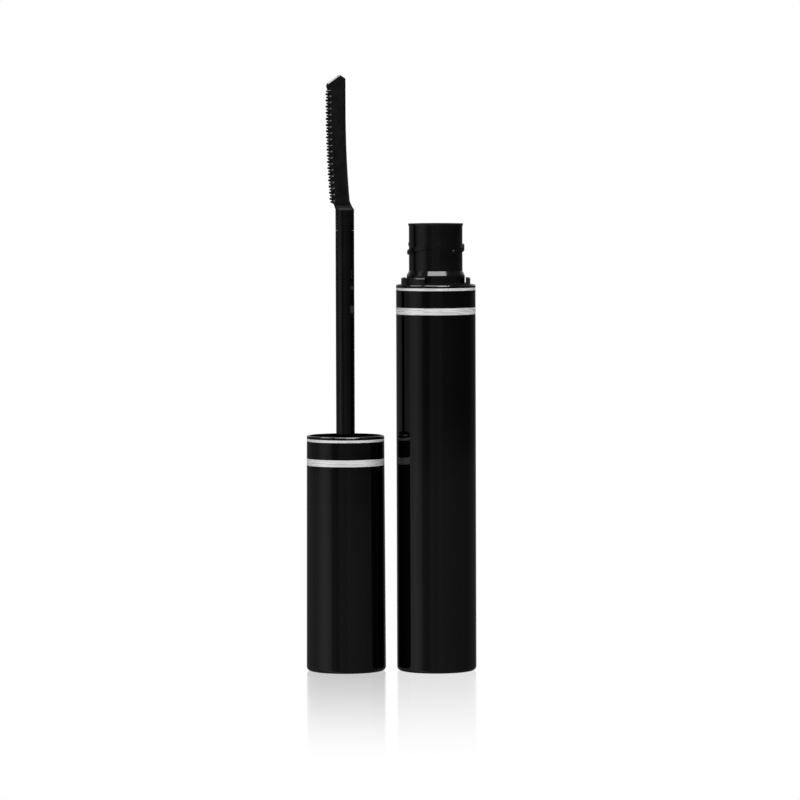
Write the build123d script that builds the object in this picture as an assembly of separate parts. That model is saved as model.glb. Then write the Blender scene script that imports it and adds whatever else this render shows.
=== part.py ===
from build123d import *
import os

# A mascara tube laid out open: the bottle stands on its base, and the cap with its wand stands beside
# it on the cap's closed end. Millimetres, +Z up, origin at the centre of the bottle's base.

# Bottle, from the outside in
SLEEVE_RADIUS = 8.5
SLEEVE_HEIGHT = 82.75
SLEEVE_BORE = 7.7
SLEEVE_FLOOR = 1.2
BASE_ROUND = 0.9
RIM_ROUND = 0.27
BOTTLE_RADIUS = 7.5
BOTTLE_WALL = 1.0
BOTTLE_FLOOR = 1.3
SHOULDER_TAPER = 1.0
SHOULDER_Z = 80.5
NECK_RADIUS = 5.73
NECK_BORE = 4.8
NECK_TOP = 95.3
FOOT_RADIUS = 6.22
FOOT_Z = 84.73
FOOT_CONE = 0.92

# Collar around the neck's foot, with a short and a long lug that key the cap; each lug is (start, span)
COLLAR_RADIUS = 7.4
COLLAR_TOP = 83.1
LUG_TOP = 84.25
LUG_BEVEL = 0.2
COLLAR_SINK = 0.2
LUG_BORE = 6.95
LUGS = ((-22.0, 44.0), (158.0, 93.0))

# Quick thread between neck and cap: three right-hand ridges, almost a quarter of a turn each
THREAD_STARTS = 3
THREAD_LEAD = 7.2
THREAD_SPAN = 84.0
THREAD_FOOT_Z = 89.68
THREAD_FIRST_ANGLE = 193.0
RIDGE_HEIGHT = 0.43
NECK_RIDGE = (1.25, 1.0)
LINER_RIDGE = (0.9, 0.6)
RIDGE_STEP = 1.2
RIDGE_SINK = 0.1

# Wiper in the neck
WIPER_FLANGE_RADIUS = 5.85
WIPER_FLANGE = 0.5
WIPER_TUBE_RADIUS = 4.7
WIPER_TUBE_BORE = 4.35
WIPER_ORIFICE = 2.3
WIPER_LIP_Z = 84.5
WIPER_CONE_Z = 88.2
WIPER_LIP_THICKNESS = 0.3

# Formula, with the channel that the brush leaves in it
FORMULA_TOP = 64.0
FORMULA_CHANNEL = 4.75
FORMULA_FLOOR = 2.0

# Cap and liner
CAP_X = -19.4
CAP_HEIGHT = 50.5
CAP_END_RADIUS = 8.5
CAP_RIM_RADIUS = 8.3
CAP_BORE = 7.7
CAP_END_WALL = 1.5
LINER_RADIUS = 7.65
LINER_BORE = 6.4
LINER_RIM_Z = 48.25
LINER_FLOOR_Z = 36.55
LINER_FLOOR = 1.6
SOCKET_RADIUS = 3.3
SOCKET_Z = 25.0
SOCKET_DEPTH = 7.0

# Weight in the cap's closed end, and the seal around the stem
WEIGHT_Z = 5.0
WEIGHT_HEIGHT = 9.0
WEIGHT_RADIUS = 7.3
WEIGHT_BORE = 1.5
WEIGHT_ROUND = 0.4
SEAL_RADIUS = 6.15
SEAL_BORE = 2.4
SEAL_THICKNESS = 0.8
SEAL_GAP = 0.1

# Wand: hollow stem, moulded comb brush, pin in the brush collar
STEM_RADIUS = 2.0
STEM_BORE = 1.0
STEM_TOP = 94.3
SHANK_RADIUS = 1.5
SHANK_LENGTH = 9.0
SHANK_CLEARANCE = 0.3
BRUSH_COLLAR_ROUND = 0.5
COLLAR_END = 99.2
PIN_RADIUS = 0.7
PIN_Z = 96.4
PIN_LENGTH = 2.2
PIN_HOLE_END = 98.9
COMB_TIP = 127.5
COMB_BACK = 0.26
COMB_SPINE = 3.2
COMB_THICKNESS = 2.4
COMB_BOW = 0.00214
COMB_BOW_END = 120.0
COMB_END = (
    (0.0, -0.8),
    (-1.1, 0.0),
    (-1.75, -0.15),
    (-3.95, -1.75),
    (-4.15, -2.4),
    (-3.9, -3.2),
    (-3.2, -3.35),
)
COMB_KNEE = (-2.5, 100.3)
COMB_FOOT_INSET = 0.1
COMB_FOOT_DROP = 0.6
FOOT_LEAN = 0.2
COMB_LEAN = 0.08
BOW_STEPS = 3
TOOTH_LENGTH = 1.1
TOOTH_ROOT = 0.64
TOOTH_TIP = 0.24
TOOTH_PITCH = 1.31
TOOTH_ROWS = 18
TOOTH_FIRST_Z = 101.1
TOOTH_FAN = 30.0
TOOTH_EMBED = 0.3
TOOTH_SPREAD = 0.45
SPINE_BEVEL = 0.35
COMB_FOOT_Z = 101.0

# Trim: two plain bright rings let into each casing, and a blank label under the base
BAND_DEPTH = 0.2
THIN_BAND_DROP = 0.65
THIN_BAND_WIDTH = 0.55
WIDE_BAND_DROP = 4.88
WIDE_BAND_WIDTH = 1.45
LABEL_RADIUS = 6.5
LABEL_THICKNESS = 0.2

FIT = 0.05
OVERLAP = 1.0
EDGE_TOLERANCE = 0.02
CLOSED_GAP = 0.1
CLOSED_HEIGHT = SLEEVE_HEIGHT + CAP_HEIGHT + CLOSED_GAP
RIDGE_RISE = THREAD_LEAD * THREAD_SPAN / 360.0


def turned(*outline):
    """Solid of revolution about +Z from an outline of (radius, height) points."""
    points = [(radius, 0.0, height) for radius, height in outline]
    return revolve(make_face(Polyline(*points, close=True)), axis=Axis.Z)


def tube(outer, inner, bottom, top):
    """Straight tube about +Z."""
    return turned((inner, bottom), (outer, bottom), (outer, top), (inner, top))


def disc(radius, bottom, top):
    """Straight cylinder about +Z."""
    return turned((0, bottom), (radius, bottom), (radius, top), (0, top))


def ring_edges(solid, radius, height):
    """Circular edges of a solid at one radius and height."""
    rings = solid.edges().filter_by(GeomType.CIRCLE)
    level = [e for e in rings if abs(e.center().Z - height) < EDGE_TOLERANCE]
    return [e for e in level if abs(e.radius - radius) < EDGE_TOLERANCE]


def rounded(solid, radius, height, amount):
    """The solid with its circular edge at one radius and height rounded off."""
    return fillet(ring_edges(solid, radius, height), amount)


def cap_radius(height):
    """Outer radius of the tapered cap at a height above its closed end."""
    return CAP_END_RADIUS + (CAP_RIM_RADIUS - CAP_END_RADIUS) * height / CAP_HEIGHT


def ridge(angle, foot_z, root_radius, crest_radius, widths):
    """One thread ridge with rounded ends, rising counter-clockwise from an angle and a height."""
    root, crest = widths
    path = Helix(pitch=THREAD_LEAD, height=RIDGE_RISE, radius=root_radius)
    outline = Polyline(
        (root_radius, 0, -root / 2),
        (crest_radius, 0, -crest / 2),
        (crest_radius, 0, crest / 2),
        (root_radius, 0, root / 2),
        close=True,
    )
    body = sweep(make_face(outline), path=path, is_frenet=True)
    point_out = 1 if crest_radius > root_radius else -1
    height = abs(crest_radius - root_radius)
    for end_angle, end_z in ((0.0, 0.0), (THREAD_SPAN, RIDGE_RISE)):
        knob = Cone(root / 2, crest / 2, height, align=(Align.CENTER, Align.CENTER, Align.MIN))
        knob = Pos(root_radius, 0, end_z) * Rot(0, 90 * point_out, 0) * knob
        body += Rot(0, 0, end_angle) * knob
    return Pos(0, 0, foot_z) * Rot(0, 0, angle) * body


def ridges(first_angle, foot_z, root_radius, crest_radius, widths):
    """The evenly spaced set of thread ridges, as a list; widths are those at root and crest."""
    angles = [first_angle + i * 360.0 / THREAD_STARTS for i in range(THREAD_STARTS)]
    return [ridge(angle, foot_z, root_radius, crest_radius, widths) for angle in angles]


def band(outer_radius, rim_z, drop, width):
    """Flush ring let into a casing below its rim; outer_radius gives the casing's radius at a height."""
    top = rim_z - drop
    bottom = top - width
    high = outer_radius(top)
    low = outer_radius(bottom)
    return turned((low - BAND_DEPTH, bottom), (low, bottom), (high, top), (high - BAND_DEPTH, top))


def sleeve_radius(height):
    """Outer radius of the straight sleeve, the same at every height."""
    return SLEEVE_RADIUS


def bands(outer_radius, rim_z):
    """Thin and wide ring for one casing."""
    thin = band(outer_radius, rim_z, THIN_BAND_DROP, THIN_BAND_WIDTH)
    wide = band(outer_radius, rim_z, WIDE_BAND_DROP, WIDE_BAND_WIDTH)
    return thin, wide


def outer_sleeve():
    """Gloss casing of the bottle: a deep cup with a recess for the label under its base."""
    body = turned(
        (0, LABEL_THICKNESS),
        (LABEL_RADIUS + FIT, LABEL_THICKNESS),
        (LABEL_RADIUS + FIT, 0),
        (SLEEVE_RADIUS, 0),
        (SLEEVE_RADIUS, SLEEVE_HEIGHT),
        (SLEEVE_BORE, SLEEVE_HEIGHT),
        (SLEEVE_BORE, SLEEVE_FLOOR),
        (0, SLEEVE_FLOOR),
    )
    body = rounded(body, SLEEVE_RADIUS, 0, BASE_ROUND)
    for trim in bands(sleeve_radius, SLEEVE_HEIGHT):
        body -= trim
    return rounded(body, SLEEVE_RADIUS, SLEEVE_HEIGHT, RIM_ROUND)


def inner_bottle():
    """Moulded bottle that holds the formula, with its shoulder, neck foot, neck and thread."""
    bore = BOTTLE_RADIUS - BOTTLE_WALL
    body = turned(
        (NECK_RADIUS, FOOT_Z + FOOT_CONE),
        (NECK_RADIUS, NECK_TOP),
        (NECK_BORE, NECK_TOP),
        (NECK_BORE, SHOULDER_Z),
        (bore, SHOULDER_Z - BOTTLE_WALL - SHOULDER_TAPER),
        (bore, SLEEVE_FLOOR + BOTTLE_FLOOR),
        (0, SLEEVE_FLOOR + BOTTLE_FLOOR),
        (0, SLEEVE_FLOOR),
        (BOTTLE_RADIUS, SLEEVE_FLOOR),
        (BOTTLE_RADIUS, SHOULDER_Z),
        (FOOT_RADIUS, SHOULDER_Z),
        (FOOT_RADIUS, FOOT_Z),
    )
    crest = NECK_RADIUS + RIDGE_HEIGHT
    return body.fuse(*ridges(THREAD_FIRST_ANGLE, THREAD_FOOT_Z, NECK_RADIUS - RIDGE_SINK, crest, NECK_RIDGE))


def shoulder_collar():
    """Collar between sleeve and neck foot, with two lugs that stand inside the closed cap's rim."""
    bore = FOOT_RADIUS + FIT
    body = turned(
        (bore, SHOULDER_Z),
        (SLEEVE_BORE - FIT, SHOULDER_Z),
        (SLEEVE_BORE - FIT, SLEEVE_HEIGHT - COLLAR_SINK),
        (COLLAR_RADIUS, SLEEVE_HEIGHT - COLLAR_SINK),
        (COLLAR_RADIUS, COLLAR_TOP),
        (bore, COLLAR_TOP),
    )
    outline = make_face(Polyline(
        (LUG_BORE, 0, SLEEVE_HEIGHT),
        (COLLAR_RADIUS, 0, SLEEVE_HEIGHT),
        (COLLAR_RADIUS, 0, LUG_TOP - LUG_BEVEL),
        (COLLAR_RADIUS - LUG_BEVEL, 0, LUG_TOP),
        (LUG_BORE, 0, LUG_TOP),
        close=True,
    ))
    for start, span in LUGS:
        body += Rot(0, 0, start) * revolve(outline, axis=Axis.Z, revolution_arc=span)
    return body


def wiper():
    """Soft wiper: a flange on the neck's end, a thin tube in its bore and a conical lip."""
    wall = WIPER_TUBE_RADIUS - WIPER_TUBE_BORE
    top = NECK_TOP + WIPER_FLANGE
    return turned(
        (WIPER_TUBE_BORE, top),
        (WIPER_FLANGE_RADIUS, top),
        (WIPER_FLANGE_RADIUS, NECK_TOP),
        (WIPER_TUBE_RADIUS, NECK_TOP),
        (WIPER_TUBE_RADIUS, WIPER_CONE_Z - WIPER_LIP_THICKNESS),
        (WIPER_ORIFICE + wall, WIPER_LIP_Z),
        (WIPER_ORIFICE, WIPER_LIP_Z),
        (WIPER_ORIFICE, WIPER_LIP_Z + WIPER_LIP_THICKNESS),
        (WIPER_TUBE_BORE, WIPER_CONE_Z),
    )


def mascara_formula():
    """The thick formula, with the channel that the brush leaves in it."""
    outer = BOTTLE_RADIUS - BOTTLE_WALL - FIT
    bottom = SLEEVE_FLOOR + BOTTLE_FLOOR + FIT
    floor = bottom + FORMULA_FLOOR
    return turned(
        (0, bottom),
        (outer, bottom),
        (outer, FORMULA_TOP),
        (FORMULA_CHANNEL, FORMULA_TOP),
        (FORMULA_CHANNEL, floor),
        (0, floor),
    )


def base_label():
    """Blank round label in the recess under the base."""
    return disc(LABEL_RADIUS, 0, LABEL_THICKNESS)


def cap_shell():
    """Gloss casing of the cap, slightly tapered, closed end down."""
    body = turned(
        (0, 0),
        (CAP_END_RADIUS, 0),
        (CAP_RIM_RADIUS, CAP_HEIGHT),
        (CAP_BORE, CAP_HEIGHT),
        (CAP_BORE, CAP_END_WALL),
        (0, CAP_END_WALL),
    )
    body = rounded(body, CAP_END_RADIUS, 0, BASE_ROUND)
    for trim in bands(cap_radius, CAP_HEIGHT):
        body -= trim
    return rounded(body, CAP_RIM_RADIUS, CAP_HEIGHT, RIM_ROUND)


def inner_cap():
    """Liner with the female thread, the floor that carries the seal and the socket for the stem."""
    floor_bottom = LINER_FLOOR_Z - LINER_FLOOR
    body = turned(
        (STEM_RADIUS, LINER_FLOOR_Z),
        (LINER_BORE, LINER_FLOOR_Z),
        (LINER_BORE, LINER_RIM_Z),
        (LINER_RADIUS, LINER_RIM_Z),
        (LINER_RADIUS, floor_bottom),
        (SOCKET_RADIUS, floor_bottom),
        (SOCKET_RADIUS, SOCKET_Z),
        (STEM_BORE, SOCKET_Z),
        (STEM_BORE, LINER_FLOOR_Z - SOCKET_DEPTH),
        (STEM_RADIUS, LINER_FLOOR_Z - SOCKET_DEPTH),
    )
    foot_z = CLOSED_HEIGHT - THREAD_FOOT_Z + RIDGE_STEP - RIDGE_RISE
    first_angle = 180.0 - THREAD_FIRST_ANGLE - THREAD_SPAN
    crest = LINER_BORE - RIDGE_HEIGHT
    return body.fuse(*ridges(first_angle, foot_z, LINER_BORE + RIDGE_SINK, crest, LINER_RIDGE))


def stem():
    """Hollow stem from the liner's socket to the brush."""
    seat = LINER_FLOOR_Z - SOCKET_DEPTH
    socket = STEM_TOP - SHANK_LENGTH - SHANK_CLEARANCE
    return turned(
        (STEM_BORE, seat),
        (STEM_RADIUS, seat),
        (STEM_RADIUS, STEM_TOP),
        (SHANK_RADIUS + FIT, STEM_TOP),
        (SHANK_RADIUS + FIT, socket),
        (STEM_BORE, socket),
    )


def cap_weight():
    """Steel weight in the cap's closed end."""
    body = tube(WEIGHT_RADIUS, WEIGHT_BORE, WEIGHT_Z, WEIGHT_Z + WEIGHT_HEIGHT)
    body = rounded(body, WEIGHT_RADIUS, WEIGHT_Z, WEIGHT_ROUND)
    return rounded(body, WEIGHT_RADIUS, WEIGHT_Z + WEIGHT_HEIGHT, WEIGHT_ROUND)


def seal_washer():
    """Soft washer on the liner's floor, which meets the end of the neck when the cap is closed."""
    bottom = LINER_FLOOR_Z + SEAL_GAP
    return tube(SEAL_RADIUS, SEAL_BORE, bottom, bottom + SEAL_THICKNESS)


def bow(height):
    """Sideways shift of the comb at a height: it leans away from its tip along a shallow curve."""
    return COMB_BOW * max(0.0, COMB_BOW_END - height) ** 2


def comb_spine():
    """Blade of the comb in side view, thickened to both sides, with a slanted end."""
    rise = (COMB_BOW_END - COMB_FOOT_Z) / BOW_STEPS
    heights = [COMB_FOOT_Z + i * rise for i in range(BOW_STEPS + 1)]
    back = [(COMB_BACK + bow(z), 0, z) for z in heights]
    front = [(x - COMB_SPINE, 0, z) for x, _, z in reversed(back)]
    end = [(COMB_BACK + x, 0, COMB_TIP + z) for x, z in COMB_END]
    knee_x, knee_z = COMB_KNEE
    foot_x = STEM_RADIUS - COMB_FOOT_INSET
    foot_back = (foot_x, 0, COLLAR_END - COMB_FOOT_DROP)
    foot_front = (-foot_x, 0, COLLAR_END - COMB_FOOT_DROP)
    outline = (
        Polyline(foot_front, foot_back)
        + Spline(foot_back, back[0], tangents=((-FOOT_LEAN, 0, 1), (-COMB_LEAN, 0, 1)))
        + Spline(*back, tangents=((-COMB_LEAN, 0, 1), (0, 0, 1)))
        + Polyline(back[-1], *end, front[0])
        + Spline(*front, tangents=((0, 0, -1), (COMB_LEAN, 0, -1)))
        + Polyline(front[-1], (knee_x, 0, knee_z), foot_front)
    )
    blade = extrude(make_face(outline), amount=COMB_THICKNESS / 2, dir=(0, 1, 0), both=True)
    side_edges = blade.faces().filter_by(Axis.Y).edges()
    return chamfer(side_edges, SPINE_BEVEL)


def tooth(height, fan):
    """One tapered tooth from the comb's front, turned about the blade by the fan angle."""
    front = COMB_BACK + bow(height) - COMB_SPINE
    length = TOOTH_LENGTH + TOOTH_EMBED
    spike = Cone(TOOTH_ROOT, TOOTH_TIP, length - TOOTH_TIP, align=(Align.CENTER, Align.CENTER, Align.MIN))
    spike += Pos(0, 0, length - TOOTH_TIP) * Sphere(TOOTH_TIP)
    side = TOOTH_SPREAD * fan / TOOTH_FAN
    return Pos(front + TOOTH_EMBED, side, height) * Rot(0, 0, -fan) * Rot(0, -90, 0) * spike


def comb_teeth():
    """Middle column of teeth, and a staggered column on each side of it."""
    middle = [TOOTH_FIRST_Z + row * TOOTH_PITCH for row in range(TOOTH_ROWS)]
    between = [height - TOOTH_PITCH / 2 for height in middle] + [middle[-1] + TOOTH_PITCH / 2]
    teeth = [tooth(height, 0.0) for height in middle]
    for fan in (-TOOTH_FAN, TOOTH_FAN):
        teeth += [tooth(height, fan) for height in between]
    return teeth


def comb_brush():
    """Moulded brush: tubular shank in the stem, collar, bowed spine and teeth."""
    body = disc(STEM_RADIUS, STEM_TOP + FIT, COLLAR_END)
    body = rounded(body, STEM_RADIUS, COLLAR_END, BRUSH_COLLAR_ROUND)
    shank_foot = STEM_TOP - SHANK_LENGTH
    body += disc(SHANK_RADIUS, shank_foot, STEM_TOP + OVERLAP)
    body += comb_spine()
    for one in comb_teeth():
        body += one
    return body - disc(STEM_BORE, shank_foot - OVERLAP, PIN_HOLE_END)


def brush_pin():
    """Short steel pin on the wand's axis, inside the brush collar."""
    return disc(PIN_RADIUS, PIN_Z, PIN_Z + PIN_LENGTH)


def bottle_nodes():
    """Pieces of the bottle, about the origin."""
    thin, wide = bands(sleeve_radius, SLEEVE_HEIGHT)
    return {
        "outer_sleeve": outer_sleeve(),
        "inner_bottle": inner_bottle(),
        "shoulder_collar": shoulder_collar(),
        "wiper": wiper(),
        "mascara_formula": mascara_formula(),
        "bottle_band_thin": thin,
        "bottle_band_wide": wide,
        "base_label": base_label(),
    }


def cap_nodes():
    """Pieces of the cap and wand, beside the bottle."""
    thin, wide = bands(cap_radius, CAP_HEIGHT)
    pieces = {
        "cap_shell": cap_shell(),
        "inner_cap": inner_cap(),
        "stem": stem(),
        "comb_brush": comb_brush(),
        "seal_washer": seal_washer(),
        "cap_weight": cap_weight(),
        "brush_pin": brush_pin(),
        "cap_band_thin": thin,
        "cap_band_wide": wide,
    }
    return {name: Pos(CAP_X, 0, 0) * piece for name, piece in pieces.items()}


def main():
    """Write one STEP file per piece."""
    os.makedirs("parts", exist_ok=True)
    for name, piece in {**bottle_nodes(), **cap_nodes()}.items():
        export_step(piece, f"parts/{name}.step")


main()
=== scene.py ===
"""Looks of the open mascara tube: materials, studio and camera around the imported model."""
import math

import bpy
from mathutils import Euler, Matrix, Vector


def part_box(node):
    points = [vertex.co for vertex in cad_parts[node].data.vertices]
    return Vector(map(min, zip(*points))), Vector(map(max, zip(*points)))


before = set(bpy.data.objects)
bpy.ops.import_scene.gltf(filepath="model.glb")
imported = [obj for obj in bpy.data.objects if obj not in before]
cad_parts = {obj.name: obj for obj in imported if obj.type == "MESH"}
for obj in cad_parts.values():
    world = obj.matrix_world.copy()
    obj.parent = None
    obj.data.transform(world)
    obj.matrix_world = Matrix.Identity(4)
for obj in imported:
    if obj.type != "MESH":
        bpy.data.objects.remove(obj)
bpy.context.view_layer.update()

MM = 0.001
MICRON = 1e-6

PLASTIC_IOR = 1.5
SOFT_IOR = 1.45
FOAM_IOR = 1.4

# Soft noise keeps mostly between these values, out of 0 to 1.
NOISE_LOW, NOISE_HIGH = 0.3, 0.7


class Nodes:
    """Shader nodes of one tree, whose patterns all start from one set of coordinates."""

    def __init__(self, tree, coordinates):
        self.tree = tree
        self.place = self.node("TexCoord").outputs[coordinates]

    def node(self, kind, **settings):
        made = self.tree.nodes.new("ShaderNode" + kind)
        for name, value in settings.items():
            setattr(made, name, value)
        return made

    def link(self, value, socket):
        """Feeds a socket from an output, or sets it to a plain value."""
        if isinstance(value, bpy.types.NodeSocket):
            self.tree.links.new(value, socket)
        else:
            socket.default_value = value

    def axis(self, name):
        """One of the coordinates: X, Y or Z."""
        split = self.node("SeparateXYZ")
        self.link(self.place, split.inputs["Vector"])
        return split.outputs[name]

    def math(self, operation, a, b=0.0, clamp=False):
        made = self.node("Math", operation=operation, use_clamp=clamp)
        self.link(a, made.inputs[0])
        self.link(b, made.inputs[1])
        return made.outputs["Value"]

    def plus(self, a, b, clamp=False):
        return self.math("ADD", a, b, clamp)

    def minus(self, a, b):
        return self.math("SUBTRACT", a, b)

    def times(self, a, b):
        return self.math("MULTIPLY", a, b)

    def over(self, a, b):
        return self.math("DIVIDE", a, b)

    def larger(self, a, b):
        return self.math("MAXIMUM", a, b)

    def squared(self, a):
        return self.math("POWER", a, 2.0)

    def span(self, value, low, high, to_low=0.0, to_high=1.0):
        """`value` from low to high, eased, becomes to_low to to_high."""
        made = self.node("MapRange", interpolation_type="SMOOTHSTEP")
        for name, what in (("Value", value), ("From Min", low), ("From Max", high),
                           ("To Min", to_low), ("To Max", to_high)):
            self.link(what, made.inputs[name])
        return made.outputs["Result"]

    def until(self, value, low, high):
        """1 up to low, fading to 0 at high."""
        return self.span(value, low, high, 1.0, 0.0)

    def mix(self, share, low, high):
        """A colour between low and high."""
        made = self.node("Mix", data_type="RGBA")
        self.link(share, made.inputs["Factor"])
        for socket, what in (("A", low), ("B", high)):
            target = [s for s in made.inputs if s.name == socket and s.type == "RGBA"][0]
            self.link((*what, 1.0) if isinstance(what, tuple) else what, target)
        return [s for s in made.outputs if s.type == "RGBA"][0]


class Finish(Nodes):
    """A procedural material. Its patterns are measured in metres on the piece itself."""

    def __init__(self, name, **shader):
        self.material = bpy.data.materials.new(name)
        self.material.use_nodes = True
        super().__init__(self.material.node_tree, "Object")
        self.shader = self.tree.nodes["Principled BSDF"]
        for socket, value in shader.items():
            self.shader.inputs[socket].default_value = value

    def noise(self, size, detail=3.0, place=None):
        """Soft noise, from 0 to 1, with features about `size` metres across."""
        made = self.node("TexNoise")
        self.link(place or self.place, made.inputs["Vector"])
        made.inputs["Scale"].default_value = 1 / size
        made.inputs["Detail"].default_value = detail
        return made.outputs["Fac"]

    def turned_lines(self, size, squeeze):
        """Noise drawn out level into lines `size` metres high, the more so the smaller squeeze is."""
        mapping = self.node("Mapping")
        self.link(self.place, mapping.inputs["Vector"])
        mapping.inputs["Scale"].default_value = (squeeze, squeeze, 1.0)
        return self.noise(size, place=mapping.outputs["Vector"])

    def cells(self, size):
        """The distance to the nearest of many scattered points, `size` metres apart."""
        made = self.node("TexVoronoi")
        self.link(self.place, made.inputs["Vector"])
        made.inputs["Scale"].default_value = 1 / size
        return made.outputs["Distance"]

    def varied(self, noise, low, high):
        """Between low and high, as soft noise goes up and down."""
        return self.span(noise, NOISE_LOW, NOISE_HIGH, low, high)

    def near(self, level, reach):
        """1 at one height of the piece, fading to 0 `reach` metres away."""
        away = self.math("ABSOLUTE", self.minus(self.axis("Z"), level))
        return self.until(away, 0.0, reach)

    def bump(self, pattern, depth):
        """Gives the surface relief `depth` metres deep where the pattern goes from 0 to 1."""
        made = self.node("Bump")
        made.inputs["Strength"].default_value = 1.0
        made.inputs["Distance"].default_value = depth
        self.link(pattern, made.inputs["Height"])
        self.link(made.outputs["Normal"], self.shader.inputs["Normal"])

    def done(self, colour, roughness):
        self.link(colour, self.shader.inputs["Base Color"])
        self.link(roughness, self.shader.inputs["Roughness"])
        return self.material


def gloss_black(name, edges):
    """Moulded glossy black casing: faint haze and orange peel, rubbed at its edges."""
    look = Finish(name, IOR=PLASTIC_IOR)
    haze = look.noise(size=14 * MM, detail=4.0)
    rubs = look.noise(size=0.7 * MM, detail=2.0)
    worn = 0.0
    for level in edges:
        worn = look.plus(worn, look.near(level, reach=0.5 * MM), clamp=True)
    worn = look.times(worn, look.span(rubs, low=0.45, high=0.75))
    tone = look.mix(haze, low=(0.0002, 0.0002, 0.00022), high=(0.0007, 0.0007, 0.0008))
    tone = look.mix(worn, low=tone, high=(0.012, 0.012, 0.012))
    worn_roughness = 0.12
    gloss = look.plus(look.varied(haze, low=0.045, high=0.075), look.times(worn, worn_roughness))
    look.bump(look.noise(size=2.5 * MM, detail=1.0), depth=1.2 * MICRON)
    return look.done(tone, gloss)


def moulded_black(name, roughness, grain, depth):
    """Plain black plastic, with a fine moulded grain."""
    look = Finish(name, IOR=PLASTIC_IOR)
    cloud = look.noise(size=5 * MM, detail=4.0)
    tone = look.mix(cloud, low=(0.00035, 0.00035, 0.00035), high=(0.00098, 0.00098, 0.00105))
    gloss = look.varied(cloud, low=0.8 * roughness, high=1.25 * roughness)
    look.bump(look.noise(size=grain), depth)
    return look.done(tone, gloss)


def bright_foil(name):
    """Hot-stamped silver foil: fine turning lines and a slightly uneven sheen."""
    look = Finish(name, IOR=PLASTIC_IOR, Metallic=0.55)
    lines = look.turned_lines(size=0.25 * MM, squeeze=0.05)
    cloud = look.noise(size=3 * MM)
    tone = look.mix(cloud, low=(0.72, 0.72, 0.73), high=(0.88, 0.88, 0.88))
    look.bump(lines, depth=4 * MICRON)
    return look.done(tone, look.varied(lines, low=0.22, high=0.38))


def pale_paper(name):
    """Coated paper of the blank label."""
    look = Finish(name, IOR=SOFT_IOR)
    fibres = look.noise(size=0.3 * MM, detail=5.0)
    tone = look.mix(fibres, low=(0.68, 0.68, 0.67), high=(0.82, 0.82, 0.81))
    look.bump(fibres, depth=6 * MICRON)
    return look.done(tone, look.varied(fibres, low=0.4, high=0.6))


def foam(name):
    """Closed-cell foam of the seal."""
    look = Finish(name, IOR=FOAM_IOR)
    pores = look.cells(size=0.22 * MM)
    open_share = look.span(pores, low=0.1, high=0.6)
    tone = look.mix(open_share, low=(0.45, 0.45, 0.44), high=(0.75, 0.75, 0.73))
    look.bump(look.span(pores, low=0.05, high=0.5), depth=40 * MICRON)
    return look.done(tone, look.span(pores, low=0.0, high=0.6, to_low=0.75, to_high=0.9))


def steel(name, line_size):
    """Bright turned steel."""
    look = Finish(name, Metallic=1.0)
    lines = look.turned_lines(line_size, squeeze=0.08)
    tone = look.mix(lines, low=(0.42, 0.42, 0.43), high=(0.62, 0.62, 0.63))
    look.bump(lines, depth=5 * MICRON)
    return look.done(tone, look.varied(lines, low=0.2, high=0.36))


def wet_formula(name):
    """Black mascara cream: wet, with soft folds."""
    look = Finish(name, IOR=SOFT_IOR)
    folds = look.noise(size=1.6 * MM, detail=4.0)
    tone = look.mix(folds, low=(0.002, 0.002, 0.002), high=(0.008, 0.007, 0.007))
    look.bump(folds, depth=120 * MICRON)
    return look.done(tone, look.varied(folds, low=0.12, high=0.3))


# The brush's collar ends BRUSH_COLLAR above the stem, in a rounded edge. The comb's front edge
# stands straight above COMB_BOW_END and leans back below it, by COMB_BOW times the square of the
# drop. The comb's nose, at the top, sticks out past that edge by NOSE_LENGTH.
BRUSH_COLLAR = 5 * MM
COLLAR_ROUND = 0.15 * MM
COMB_BOW = 2.14
COMB_BOW_END = 120 * MM
NOSE_LENGTH = 0.95 * MM
NOSE_HEIGHT = 3.35 * MM


def on_teeth(look):
    """1 on the comb's teeth, 0 on its blade and on its nose."""
    brush_low, brush_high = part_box("comb_brush")
    front = brush_low.x + NOSE_LENGTH
    nose = brush_high.z - NOSE_HEIGHT
    drop = look.larger(look.minus(COMB_BOW_END, look.axis("Z")), 0.0)
    bow = look.times(look.squared(drop), COMB_BOW)
    inward = look.minus(look.minus(look.axis("X"), front), bow)
    return look.times(look.until(inward, -0.1 * MM, 0.3 * MM),
                      look.until(look.axis("Z"), nose - 0.3 * MM, nose))


def elastomer(name):
    """Black elastomer of the brush: satin comb, matt teeth, polished collar with a matt end."""
    look = Finish(name, IOR=SOFT_IOR)
    collar_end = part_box("stem")[1].z + BRUSH_COLLAR
    cloud = look.noise(size=1.5 * MM, detail=4.0)
    tone = look.mix(cloud, low=(0.0006, 0.0006, 0.0007), high=(0.0018, 0.0018, 0.0020))
    satin = look.varied(cloud, low=0.11, high=0.18)
    polished = look.varied(cloud, low=0.08, high=0.13)
    on_comb = look.span(look.axis("Z"), collar_end - 1 * MM, collar_end + 1 * MM)
    on_end = look.near(collar_end - COLLAR_ROUND, reach=0.7 * MM)
    matt_end, matt_teeth = 0.9, 0.8
    gloss = look.plus(look.times(on_comb, satin), look.times(look.minus(1.0, on_comb), polished))
    gloss = look.plus(gloss, look.times(on_end, matt_end), clamp=True)
    gloss = look.plus(gloss, look.times(on_teeth(look), matt_teeth), clamp=True)
    look.bump(look.noise(size=0.12 * MM, detail=2.0), depth=4 * MICRON)
    return look.done(tone, gloss)


def levels(node):
    """The lowest and highest height of a node."""
    return [corner.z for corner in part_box(node)]


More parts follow.
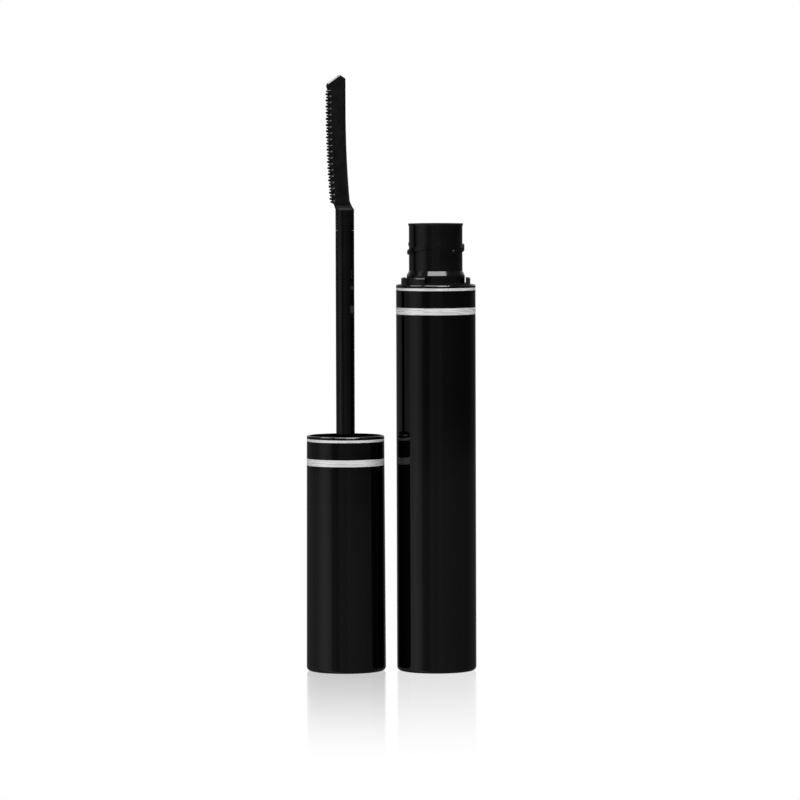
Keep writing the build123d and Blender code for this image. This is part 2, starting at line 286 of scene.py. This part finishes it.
def dress():
    """Gives every carried-over node its material."""
    finishes = {
        gloss_black("bottle_gloss_black", levels("outer_sleeve")): ("outer_sleeve",),
        gloss_black("cap_gloss_black", levels("cap_shell")): ("cap_shell",),
        moulded_black("bottle_plastic", 0.13, grain=1.5 * MM, depth=3 * MICRON): ("inner_bottle",),
        moulded_black("collar_plastic", 0.2, grain=0.4 * MM, depth=4 * MICRON): ("shoulder_collar",),
        moulded_black("liner_plastic", 0.3, grain=0.3 * MM, depth=6 * MICRON): ("inner_cap",),
        moulded_black("stem_plastic", 0.1, grain=1.2 * MM, depth=2 * MICRON): ("stem",),
        moulded_black("wiper_rubber", 0.2, grain=0.2 * MM, depth=3 * MICRON): ("wiper",),
        elastomer("brush_elastomer"): ("comb_brush",),
        wet_formula("formula"): ("mascara_formula",),
        bright_foil("band_foil"): ("bottle_band_thin", "bottle_band_wide",
                                   "cap_band_thin", "cap_band_wide"),
        pale_paper("label_paper"): ("base_label",),
        foam("seal_foam"): ("seal_washer",),
        steel("weight_steel", line_size=0.15 * MM): ("cap_weight",),
        steel("pin_steel", line_size=0.1 * MM): ("brush_pin",),
    }
    for material, nodes in finishes.items():
        for node in nodes:
            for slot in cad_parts[node].material_slots:
                slot.material = material


# Zones of the studio by height. A direction's rise is 0 when level and 1 straight up, and each
# pair is the rise where one zone ends and the rise where the next has taken over.
BELOW_TO_LEVEL = (-0.066, -0.058)
LEVEL_TO_SKY = (0.035, 0.06)
SKY_TO_HIGH = (0.2, 0.4)
SKY_DIM = 0.5
HIGH_DIM = 0.10

# Brightness below and at the level of the object, as (azimuth in degrees, brightness). Azimuth 0
# is the front, -Y, and 90 is the right, +X: a dim room with one tall soft light at the front left.
BELOW = ((-180, 0.14), (-155, 0.09), (-134, 0.11), (-110, 0.16), (-92, 0.22),
         (-76, 0.39), (-62, 0.46), (-49, 0.37), (-38, 0.15), (-25, 0.125), (-13, 0.19),
         (0, 0.165), (10, 0.20), (22, 0.17), (46, 0.155), (72, 0.12), (105, 0.09),
         (140, 0.08), (155, 0.09), (180, 0.14))
LEVEL = ((-180, 0.14), (-155, 0.09), (-134, 0.10), (-110, 0.12), (-92, 0.14),
         (-76, 0.31), (-62, 0.36), (-49, 0.27), (-38, 0.08), (-25, 0.05), (-13, 0.13),
         (0, 0.11), (10, 0.13), (22, 0.075), (46, 0.058), (72, 0.044), (105, 0.03),
         (140, 0.05), (155, 0.09), (180, 0.14))

# The overhead light is a trapezoid in the plane one unit above the object. It is measured across
# (X) from an offset and along (Y), and widens towards the front. Pairs are its soft edges.
OVERHEAD_LEVEL = 9.0
OVERHEAD_OFFSET = 0.10
OVERHEAD_FLARE = 0.43
OVERHEAD_SIDE = (0.37, 0.42)
OVERHEAD_FRONT = (-0.97, -0.92)
OVERHEAD_BACK = (0.1, 0.6)

# A round light high on the left. Its soft edge is given as cosines of the angle from its middle.
SIDE_LEVEL = 15.0
SIDE_LIGHT = (-0.56, 0.06, 0.826)
SIDE_EDGE = (0.968, 0.980)

# The table's sheen: its strength under each casing; the distances from the object's middle between
# which it fades, less than nothing at one end because the middle itself has faded a little; and how
# edge-on the table has to be seen for it to show, where 1 is fully.
CAP_SHEEN = 0.46 / SKY_DIM
BOTTLE_SHEEN = 0.268 / SKY_DIM
SHEEN_FADE = (-0.0165, 0.1635)
SHEEN_GRAZING = (0.7, 0.85)
SHEEN_ROUGHNESS = 0.04
FLOOR_HALF = 20.0


def light_table():
    """A lit white table with a sheen that fades out around the object."""
    mesh = bpy.data.meshes.new("light_table")
    h = FLOOR_HALF
    mesh.from_pydata([(-h, -h, 0), (h, -h, 0), (h, h, 0), (-h, h, 0)], [], [(0, 1, 2, 3)])
    table = bpy.data.objects.new("light_table", mesh)
    bpy.context.scene.collection.objects.link(table)
    table.visible_glossy = False
    look = Finish("light_table")
    look.tree.nodes.remove(look.shader)
    middle = (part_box("cap_shell")[0].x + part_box("outer_sleeve")[1].x) / 2
    between = (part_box("cap_shell")[1].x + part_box("outer_sleeve")[0].x) / 2
    across = look.minus(look.axis("X"), middle)
    away = look.math("SQRT", look.plus(look.squared(across), look.squared(look.axis("Y"))))
    fade = look.until(away, *SHEEN_FADE)
    side = look.span(look.axis("X"), between - 1 * MM, between + 1 * MM, CAP_SHEEN, BOTTLE_SHEEN)
    grazing = look.span(look.node("LayerWeight").outputs["Facing"], *SHEEN_GRAZING)
    sheen = look.times(look.times(fade, side), grazing)
    glow = look.node("Emission")
    look.link(look.minus(1.0, look.times(sheen, SKY_DIM)), glow.inputs["Strength"])
    mirror = look.node("BsdfGlossy")
    mirror.inputs["Roughness"].default_value = SHEEN_ROUGHNESS
    look.link(sheen, mirror.inputs["Color"])
    both = look.node("AddShader")
    look.link(glow.outputs[0], both.inputs[0])
    look.link(mirror.outputs[0], both.inputs[1])
    look.link(both.outputs[0], look.tree.nodes["Material Output"].inputs["Surface"])
    mesh.materials.append(look.material)


def around(room, stops):
    """Brightness by azimuth, eased between the stops."""
    turn = room.math("ARCTAN2", room.axis("X"), room.times(room.axis("Y"), -1.0))
    ramp = room.node("ValToRGB")
    room.link(room.plus(room.over(turn, 2 * math.pi), 0.5), ramp.inputs["Fac"])
    ramp.color_ramp.interpolation = "EASE"
    elements = ramp.color_ramp.elements
    while len(elements) < len(stops):
        elements.new(0.5)
    for element, (azimuth, level) in zip(elements, stops):
        element.position = azimuth / 360 + 0.5
        element.color = (level, level, level, 1.0)
    return ramp.outputs["Color"]


def overhead_light(room):
    """Brightness of the trapezoid overhead."""
    across = room.minus(room.over(room.axis("X"), room.axis("Z")), OVERHEAD_OFFSET)
    along = room.over(room.axis("Y"), room.axis("Z"))
    reach = room.plus(room.math("ABSOLUTE", across), room.times(along, OVERHEAD_FLARE))
    ends = room.times(room.span(along, *OVERHEAD_FRONT), room.until(along, *OVERHEAD_BACK))
    return room.times(room.times(room.until(reach, *OVERHEAD_SIDE), ends), OVERHEAD_LEVEL)


def side_light(room):
    """Brightness of the round light on the left."""
    facing = room.node("VectorMath", operation="DOT_PRODUCT")
    room.link(room.place, facing.inputs[0])
    facing.inputs[1].default_value = SIDE_LIGHT
    return room.times(room.span(facing.outputs["Value"], *SIDE_EDGE), SIDE_LEVEL)


def studio():
    """A dim studio that shines only in reflections, in front of a plain white background."""
    world = bpy.data.worlds.new("studio")
    bpy.context.scene.world = world
    world.use_nodes = True
    room = Nodes(world.node_tree, "Generated")
    rise = room.axis("Z")
    lower = room.mix(room.span(rise, *BELOW_TO_LEVEL), around(room, BELOW), around(room, LEVEL))
    upper = room.larger(overhead_light(room), side_light(room))
    upper = room.larger(upper, room.span(rise, *SKY_TO_HIGH, SKY_DIM, HIGH_DIM))
    light = room.mix(room.span(rise, *LEVEL_TO_SKY), lower, upper)
    seen = room.node("LightPath").outputs["Is Camera Ray"]
    light = room.mix(seen, light, (1.0, 1.0, 1.0))
    room.link(light, room.tree.nodes["Background"].inputs["Color"])


# The place is in metres. The camera looks CAMERA_DROP degrees below level and is rolled by
# CAMERA_ROLL degrees. The lens is in millimetres, for Blender's usual 36 mm sensor.
CAMERA_PLACE = (-0.00772, -1.052, 0.1116)
CAMERA_DROP = 2.915
CAMERA_ROLL = -0.18
CAMERA_LENS = 221.5
CAMERA_CLIP = (0.01, 100.0)


def camera():
    """A long lens about a metre in front, between the heights of the neck and of the comb's tip."""
    data = bpy.data.cameras.new("camera")
    data.lens = CAMERA_LENS
    data.clip_start, data.clip_end = CAMERA_CLIP
    made = bpy.data.objects.new("camera", data)
    bpy.context.scene.collection.objects.link(made)
    made.location = CAMERA_PLACE
    upright = Euler((math.radians(90 - CAMERA_DROP), 0.0, 0.0)).to_matrix()
    roll = Euler((0.0, 0.0, math.radians(CAMERA_ROLL))).to_matrix()
    made.rotation_euler = (upright @ roll).to_euler()
    bpy.context.scene.camera = made


dress()
light_table()
studio()
camera()
bpy.context.scene.view_settings.view_transform = "Standard"
